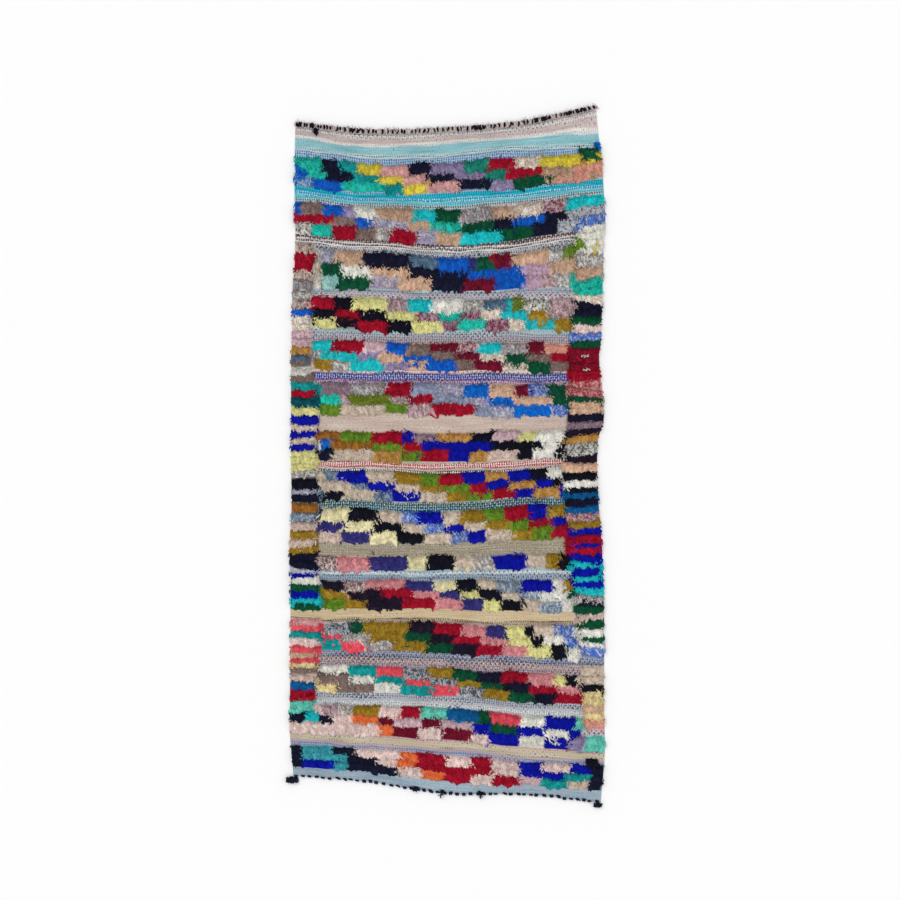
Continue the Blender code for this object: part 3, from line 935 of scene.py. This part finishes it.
ground = {
    "weftStep": 0.0016,      # half a weft, so that each weft is a ridge
    "pileStep": 0.012,       # lines under the pile
    "columns": 104,
    "bunch": 0.25,           # how much closer the columns are at the sides
    "top": 0.0052,
    "ridge": 0.0007,
    "swell": ((0.0006, 9, 21, 0), (0.0004, 31, -47, 0)),
    "thin": (0.45, 0.006),   # at the very sides: what is left of the height, and how far in
    "endThin": 0.55,
    "roll": (0.003, 0.02),   # the rolled lower end: more height, and over how much length
    "underEvery": 0.05,
    "gain": 1.02,
    "stripeWaves": ((0.0022, 13, 61, 0), (0.0014, 37, 150, 1), (0.0010, 89, -240, 0)),
    "blend": (-0.0014, -0.0005, 0.0005, 0.0014),    # where a stripe's edge is read, all mixed
    "cover": (0.003, 0.008), # how far past its knots a row covers the ground, above and beside
}
# The bake's map: flat weave gets most of it, what the pile covers little, the underside and edges strips.
bakeMap = {
    "across": (0.01, 0.98), "top": (0.005, 0.85), "under": (0.87, 0.12), "covered": 0.13,
    "sides": ((0.008, 0.0005), (0.992, 0.9995)), "ends": ((0.004, 0.0005), (0.858, 0.866)),
}
Line = namedtuple("Line", "at ridge stripe flat")


def readStripes(text):
    stripes = []
    for item in text.split(","):
        long, yarn, other, *shares = item.split()
        stripes.append(Stripe(float(long) / 100, yarn, other, *map(float, shares)))
    return stripes


def groundLines():
    # the lines across the rug: a weft's ridges and grooves in flat weave, and far apart under the pile
    look = ground
    lines = []
    chart = [readStripes(text) for text in flatChart]
    for number, (start, band) in enumerate(zip(bandStarts, bands)):
        stripes = chart[number // 2]
        count = round(band.length / look["pileStep" if band.rows else "weftStep"])
        ends = np.cumsum([stripe.long for stripe in stripes])
        ends = ends * band.length / ends[-1]
        for step in range(count):
            if band.rows:
                # what the tufts leave bare has the yarn of the nearest flat weave
                stripe = stripes[-1] if step < count / 2 else chart[number // 2 + 1][0]
                lines.append(Line(start + band.length * step / count, 0, stripe, False))
            else:
                down = band.length * (step + 0.5) / count
                stripe = stripes[min(np.searchsorted(ends, down), len(stripes) - 1)]
                lines.append(Line(start + down, 1 if step % 2 else -1, stripe, True))
    lines[0] = lines[0]._replace(at=0.0, ridge=0)
    lines.append(lines[-1]._replace(at=rugLength, ridge=0))
    return lines


def coverColours(rows, at, across):
    # under the tufts the ground has their own colours, knot by knot
    above, beside = ground["cover"]
    starts = np.array([row["at"].mean() for row in rows])
    found = np.zeros((*at.shape, 3))
    inside = np.zeros(at.shape, bool)
    for index in np.argsort(starts):
        spot, reach, yarn = (rows[index][key] for key in ("spot", "reach", "yarn"))
        near = (at > starts[index] - above) & (at < starts[index] + reach.mean())
        near = near & (across > spot.min() - beside) & (across < spot.max() + beside)
        nearest = np.clip(np.searchsorted(spot, across[near]), 0, len(spot) - 1)
        found[near] = mainColour[yarn[nearest]]
        inside |= near
    return found, inside


def stripeLayers(lines, atGrid, shareGrid):
    # both yarns and how they mix at every vertex: the chart's stripes, which stray and blend a little
    look = ground
    at = np.array([line.at for line in lines])
    flat = np.array([line.flat for line in lines])
    home = np.arange(len(at))[:, None]
    stripes = [line.stripe for line in lines]
    sources = {
        "yarnMain": [linear(yarns[stripe.yarn]) for stripe in stripes],
        "yarnOther": [linear(yarns[stripe.other]) for stripe in stripes],
        "dash": [stripe.dash for stripe in stripes],
        "fleck": [stripe.fleck for stripe in stripes],
        "speck": [stripe.speck for stripe in stripes],
    }
    layers = dict.fromkeys(sources, 0)
    wave = ripple(look["stripeWaves"], shareGrid, atGrid)
    for offset in look["blend"]:
        found = np.clip(np.searchsorted(at, atGrid + wave + offset), 0, len(at) - 1)
        found = np.where(flat[found] == flat[home], found, home)
        for layer, values in sources.items():
            layers[layer] = layers[layer] + np.array(values)[found] / len(look["blend"])
    return layers


def addGround(rows, material):
    look = ground
    lines = groundLines()
    columns = look["columns"]
    rowCount = len(lines)
    at = np.array([line.at for line in lines])
    ridge = np.array([line.ridge for line in lines])
    middle = np.linspace(-0.5, 0.5, columns)
    share = 0.5 + 0.5 * look["bunch"] * np.sin(middle * np.pi) + (1 - look["bunch"]) * middle
    atGrid, shareGrid = np.meshgrid(at, share, indexing="ij")
    x, y = clothPlan(atGrid, shareGrid)
    thin, inward = look["thin"]
    sideThin = thin + (1 - thin) * np.clip(np.minimum(shareGrid, 1 - shareGrid) / inward, 0, 1)
    rollHigh, rollLong = look["roll"]
    roll = rollHigh * np.clip(1 - (rugLength - atGrid) / rollLong, 0, 1)
    endThin = np.where((atGrid == 0) | (atGrid == rugLength), look["endThin"], 1.0)
    high = look["top"] + look["ridge"] * ridge[:, None] + roll + ripple(look["swell"], shareGrid, atGrid)
    top = np.stack((x, y, high * sideThin * endThin), axis=2)
    marks = [0]
    for row in range(1, rowCount):
        if at[row] - at[marks[-1]] > look["underEvery"] or row == rowCount - 1:
            marks.append(row)
    below = top[marks] * (1, 1, 0)
    verts = np.concatenate((top.reshape(-1, 3), below.reshape(-1, 3)))

    weight = np.array([1.0 if line.flat else bakeMap["covered"] for line in lines])
    reached = np.concatenate(([0], np.cumsum((at[1:] - at[:-1]) * (weight[1:] + weight[:-1]) / 2)))
    mapU = bakeMap["across"][0] + bakeMap["across"][1] * share
    mapV = bakeMap["top"][0] + bakeMap["top"][1] * reached / reached[-1]
    faces = []
    uvBake = []
    uvWeave = []

    # a corner is its vertex, its place in the bake's map and its place in the weave
    def corner(row, column, u=None, v=None):
        spot = (mapU[column] if u is None else u, mapV[row] if v is None else v)
        return row * columns + column, spot, (share[column] * plainWidth, at[row])

    def under(mark, column, u=None, v=None):
        low, long = bakeMap["under"]
        spot = (mapU[column] if u is None else u, low + long * mark / (len(marks) - 1) if v is None else v)
        return (rowCount + mark) * columns + column, spot, (share[column] * plainWidth, at[marks[mark]])

    def face(*corners):
        faces.append([item[0] for item in corners])
        uvBake.extend(item[1] for item in corners)
        uvWeave.extend(item[2] for item in corners)

    for row in range(rowCount - 1):
        for column in range(columns - 1):
            face(corner(row, column), corner(row + 1, column),
                 corner(row + 1, column + 1), corner(row, column + 1))
    for mark in range(len(marks) - 1):
        for column in range(columns - 1):
            face(under(mark, column), under(mark, column + 1),
                 under(mark + 1, column + 1), under(mark + 1, column))
    for column, (upper, lower) in zip((0, columns - 1), bakeMap["sides"]):
        for mark in range(len(marks) - 1):
            first, last = marks[mark], marks[mark + 1]
            ring = [corner(row, column, upper) for row in range(first, last + 1)]
            ring += [under(mark + 1, column, lower, mapV[last]), under(mark, column, lower, mapV[first])]
            face(*(ring[::-1] if column == 0 else ring))
    for row, mark, (upper, lower) in zip((0, rowCount - 1), (0, len(marks) - 1), bakeMap["ends"]):
        for column in range(columns - 1):
            ring = [corner(row, column, None, upper), corner(row, column + 1, None, upper),
                    under(mark, column + 1, None, lower), under(mark, column, None, lower)]
            face(*(ring if row == 0 else ring[::-1]))
    loops = np.array([item for one in faces for item in one])
    piece = addMesh("ground_weave", verts, loops, [len(one) for one in faces], material)
    addUv(piece, "weave", np.array(uvWeave))
    addUv(piece, "OFBake", np.array(uvBake))

    picked = list(range(rowCount)) + marks
    covers, covered = coverColours(rows, atGrid, shareGrid * plainWidth)
    for layer, values in stripeLayers(lines, atGrid, shareGrid).items():
        if values.ndim == 3:
            values = np.where(covered[..., None], covers, values)[picked].reshape(-1, 3)
            addColour(piece, layer, np.clip(values * look["gain"], 0, 0.95))
        else:
            addShare(piece, layer, np.where(covered, 0, values)[picked].ravel())
    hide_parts("rug")
    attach(piece, "root")
    print("ground_weave", len(faces), "faces")
    return piece


# The twined cord along the upper end

cord = {
    "ply": 0.0085,            # each ply's width, and how far it lies from the cord's middle
    "orbit": 0.0058,
    "turn": 0.0205,           # length of one twist
    "twist": ((1.2, 17, 0, 0), (0.7, 41, 0, 0)),    # uneven twist
    "swell": ((0.08, 150, 0, 0), (0.08, 67, 0, 0)),
    "away": 0.0113,           # from the cloth's end
    "middle": 0.0070,         # height
    "flat": 0.62,
    "plyFlat": 0.66,
    "rings": 560,
    "marks": 64,              # black wraps over the undyed plies
    "markWide": (0.0058, 0.0096),
    "markLong": (0.0060, 0.0105),    # to each side of the middle
    "markFlat": 0.6,
    "markStray": 0.3,         # as a share of the way to the next
    "markShift": 0.002,       # across the cord
    "slant": (0.10, 0.30),    # mean and spread, as for the bow
    "bow": (0.0015, 0.0012),
    "over": (0.0082, 0.0135, 0.001),    # how high wraps rise, over how wide an arch, and how deep they sink
    "wisps": 900,
    "wispLong": (0.008, 0.020),
    "wispFrom": (0.012, 0.005),      # past the cloth's end, and how much this varies
    "wispHigh": (0.010, 0.003),
    "wispArch": 0.004,
    "wispFall": 0.006,
    "wispWide": (0.0012, 0.0011, 0.0008, 0.0004),
    "dark": (18, 18, 28),
    "pale": (190, 176, 172),
    "paleGain": 1.1,
}
# Where the black yarn is bunched: the middle and half width as shares of the cord, and how many more wraps.
Bunch = namedtuple("Bunch", "middle half wraps")
bunches = [Bunch(0.03, 0.03, 6), Bunch(0.16, 0.10, 8), Bunch(0.61, 0.02, 9), Bunch(0.82, 0.03, 12),
           Bunch(0.93, 0.05, 14)]


def dyed(colour, gain, uneven, shape):
    # a yarn's colour for every place, each a little lighter or darker
    return np.clip(linear(colour) * gain * (1 + random.normal(0, uneven, (*shape, 1))), 0, 0.95)


def headLine(share):
    # the cord's line, at the same distance from the cloth's upper end all along, and its direction
    x, y = clothPlan(np.zeros_like(share), share)
    across = np.gradient(x)
    along = np.gradient(y)
    size = np.hypot(across, along)
    away = cord["away"]
    return x - along / size * away, y + across / size * away, across / size, along / size


def addCord(material):
    look = cord
    x, y, across, along = headLine(np.linspace(-0.004, 1.006, look["rings"]))
    length = np.concatenate(([0], np.cumsum(np.hypot(np.diff(x), np.diff(y)))))
    turning = length / look["turn"] * 2 * np.pi + ripple(look["twist"], length)
    paths = []
    for angle in (turning, turning + np.pi):
        off = look["orbit"] * np.cos(angle)
        up = look["middle"] + look["orbit"] * look["flat"] * np.sin(angle)
        paths.append(np.stack((x - along * off, y + across * off, up), axis=1))
    paths = np.array(paths)
    colours = dyed(look["pale"], look["paleGain"], 0.10, paths.shape[:2])
    ends = np.clip(np.minimum(length, length[-1] - length) / 0.006, 0.3, 1)
    wide = look["ply"] * (1 + ripple(look["swell"], length)) * ends
    plies = tubeSet(paths, wide, look["plyFlat"], colours, 8, (0.0, 1.0, 0.0))
    piece = addTubes("twined_head_cord", [plies, layMarks()], material)
    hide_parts("head_cord")
    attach(piece, "root")
    return piece


def layMarks():
    # the black yarn where it comes over the undyed plies: short uneven wraps
    look = cord
    stray = random.uniform(-look["markStray"], look["markStray"], look["marks"])
    even = (np.arange(look["marks"]) + 0.5 + stray) / look["marks"]
    more = [bunch.middle + bunch.half * random.uniform(-1, 1, bunch.wraps) for bunch in bunches]
    share = np.sort(np.clip(np.concatenate((even, *more)), 0.002, 0.998))
    x, y, across, along = (values[:, None] for values in headLine(share))
    size = x.shape
    t = np.linspace(-1, 1, 7)
    length = random.uniform(*look["markLong"], size)
    slant = random.normal(*look["slant"], size)
    bow = random.normal(*look["bow"], size) * (1 - t ** 2)
    off = length * t + random.uniform(-look["markShift"], look["markShift"], size)
    beside = off * np.sin(slant) + bow
    rise, arch, sunk = look["over"]
    high = look["middle"] + rise * np.sqrt(np.clip(1 - (off / arch) ** 2, 0.05, 1)) - sunk
    paths = np.stack((x - along * off + across * beside, y + across * off + along * beside, high), axis=2)
    wide = random.uniform(*look["markWide"], size) * np.sqrt(1.05 - t ** 2)
    colours = dyed(look["dark"], 1, 0.2, size)
    return tubeSet(paths, wide, look["markFlat"], colours, 6, np.stack((across, along, 0 * along), axis=2))


def addWisps(material):
    # short wisps that stand out of the cord
    look = cord
    size = (look["wisps"], 1)
    share = random.uniform(0.0, 1.0, size)
    x, y = clothPlan(np.zeros(size), share)
    dark = random.uniform(0, 1, size) < 0.5
    t = np.array([0, 0.4, 0.75, 1.0])
    heading = random.normal(math.pi / 2, 1.0, size)
    reach = random.uniform(*look["wispLong"], size)
    past, pastStray = look["wispFrom"]
    high, highStray = look["wispHigh"]
    start = y + past + random.uniform(-pastStray, pastStray, size)
    high = high + look["wispArch"] * np.sin(t * 3) - look["wispFall"] * t
    high = high + random.uniform(-highStray, highStray, size)
    paths = np.stack((x + np.cos(heading) * reach * t, start + np.sin(heading) * reach * t, high), axis=2)
    colours = np.where(dark, linear(look["dark"]), linear(look["pale"]) * look["paleGain"])[:, None]
    piece = addTubes("cord_wisps", [tubeSet(paths, look["wispWide"], 1, colours)], material)
    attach(piece, "root")
    return piece


# The overcast hem and the corner knots

hem = {
    "pitch": 0.0245,          # from one stitch to the next
    "threads": 4,             # in a stitch, and the gap between them
    "gap": 0.0031,
    "reach": (0.007, 0.013),  # over the cloth, and past its end
    "past": (0.002, 0.006),
    "high": 0.0105,
    "under": 0.0012,
    "tuck": (0.25, 0.004),    # over this share of a strand it goes down into the cloth, by so much
    "stray": 0.16,            # of a stitch, as a share of the way to the next
    "slant": (0.002, 0.003),  # mean and spread
    "strandStray": (0.0008, 0.001),
    "wide": 0.0052,
    "taper": (0.6, 1, 1.1, 1.1, 1.05, 0.9, 0.6),
    "flat": 0.7,
    "yarn": (20, 24, 46),
    "gain": 1.2,              # for the hem and the knots
}


def addStitches(material):
    look = hem
    count = int(plainWidth / look["pitch"])
    t = np.linspace(0, 1, len(look["taper"]))
    tuckEnd, tuckDeep = look["tuck"]
    beside, along = look["strandStray"]
    high = look["high"] * np.sqrt(np.clip(1 - t ** 2.2, 0, 1)) + look["under"]
    high = high - tuckDeep * np.clip(tuckEnd - t, 0, 1)
    paths = []
    for number in range(count):
        middle = (number + 0.5 + random.uniform(-look["stray"], look["stray"])) / count
        slant = random.normal(*look["slant"])
        reach = random.uniform(*look["reach"])
        past = random.uniform(*look["past"])
        for strand in range(look["threads"]):
            off = (strand - (look["threads"] - 1) / 2) * look["gap"] + random.uniform(-beside, beside)
            down = rugLength + past - reach * np.cos(t * np.pi / 2) + random.uniform(-along, along)
            x, y = clothPlan(np.minimum(down, rugLength), middle + (off + slant * t) / plainWidth)
            paths.append(np.stack((x, y - np.maximum(down - rugLength, 0), high), axis=1))
    paths = np.array(paths)
    colours = dyed(look["yarn"], look["gain"], 0.15, (len(paths), 1))
    wide = look["wide"] * np.array(look["taper"])
    strands = tubeSet(paths, wide, look["flat"], colours, 6, (1.0, 0.0, 0.0))
    piece = addTubes("hem_stitches", [strands], material)
    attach(piece, "root")
    return piece


lump = {"points": 14, "wide": 0.0058, "flat": 0.8, "fill": (0.72, 0.70), "stray": 0.002}    # points to a turn


def addKnot(node, colour, turns, material):
    # a lump of yarn, wound round its length inside the solid
    look = lump
    low, high = (np.array(point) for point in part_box(node))
    middle = (low + high) / 2
    half = (high - low) / 2
    angle = np.linspace(0, 2 * np.pi * turns, turns * look["points"])
    along = np.linspace(-0.8, 0.8, len(angle))
    swell = np.sqrt(np.clip(1 - along ** 2, 0.1, 1))
    wound = np.stack((half[0] * along + look["stray"] * np.sin(angle * 1.7),
                      half[1] * look["fill"][0] * swell * np.cos(angle),
                      half[2] * look["fill"][1] * swell * np.sin(angle)), axis=1)
    colours = dyed(colour, hem["gain"], 0.15, (1, len(angle)))
    strand = tubeSet((middle + wound)[None], look["wide"], look["flat"], colours, 7, (1.0, 0.0, 0.0))
    piece = addTubes(node + "_yarn", [strand], material)
    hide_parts(node)
    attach(piece, "root")
    return piece


# Floor, light and camera

stage = {
    "frame": 3.33,            # how much of the floor the picture shows
    "height": 8.0,            # of the camera
    "centre": (0.0178, 0.0222),
    "floor": 0.93,
    "sky": 0.86,
    "key": (0.7, 42, 35, 20), # strength, then tilt, heading and spread in degrees
    "fill": (0.2, 55, -130, 60),
}


def addStage():
    look = stage
    bpy.ops.mesh.primitive_plane_add(size=24, location=(0, 0, -0.0004))
    floor = bpy.context.active_object
    floor.name = "floor"
    tone = look["floor"]
    floor.data.materials.append(Finish("floor", Base_Color=(tone, tone, tone, 1), Roughness=0.9).material)
    world = bpy.data.worlds.new("studio")
    world.use_nodes = True
    world.node_tree.nodes["Background"].inputs["Color"].default_value = (1, 1, 1, 1)
    world.node_tree.nodes["Background"].inputs["Strength"].default_value = look["sky"]
    scene.world = world
    for name in ("key", "fill"):
        strength, tilt, heading, spread = look[name]
        light = bpy.data.lights.new(name, "SUN")
        light.energy = strength
        light.angle = math.radians(spread)
        lamp = bpy.data.objects.new(name, light)
        lamp.rotation_euler = (math.radians(-tilt), 0, math.radians(heading))
        scene.collection.objects.link(lamp)
    lens = bpy.data.cameras.new("camera")
    lens.sensor_width = 36
    lens.lens = lens.sensor_width * look["height"] / look["frame"]
    camera = bpy.data.objects.new("camera", lens)
    camera.location = (*look["centre"], look["height"])
    scene.collection.objects.link(camera)
    scene.camera = camera
    scene.view_settings.view_transform = "Standard"
    print("stage")


addStage()
weaveFinish = rugFinish()
pileFinish = yarnFinish("rag_pile", 420, 0.5)
cordFinish = yarnFinish("cord_yarn", 600, 0.8)
tuftRows = {
    "pile_first_rows": pileRows(1),
    "pile_second_rows": pileRows(2),
    "pile_third_rows": pileRows(3),
    "border_left": borderRows("left", leftBorder),
    "border_right": borderRows("right", rightBorder),
    "lone_tufts": loneRows(),
}
tufts = [addTufts(name, rows, pileFinish) for name, rows in tuftRows.items()]
groundPiece = addGround([row for rows in tuftRows.values() for row in rows], weaveFinish)
addCord(cordFinish)
addWisps(cordFinish)
stitches = addStitches(cordFinish)
addKnot("corner_knot_left", (20, 22, 42), 7, cordFinish)
addKnot("corner_knot_right", (24, 24, 34), 5, cordFinish)
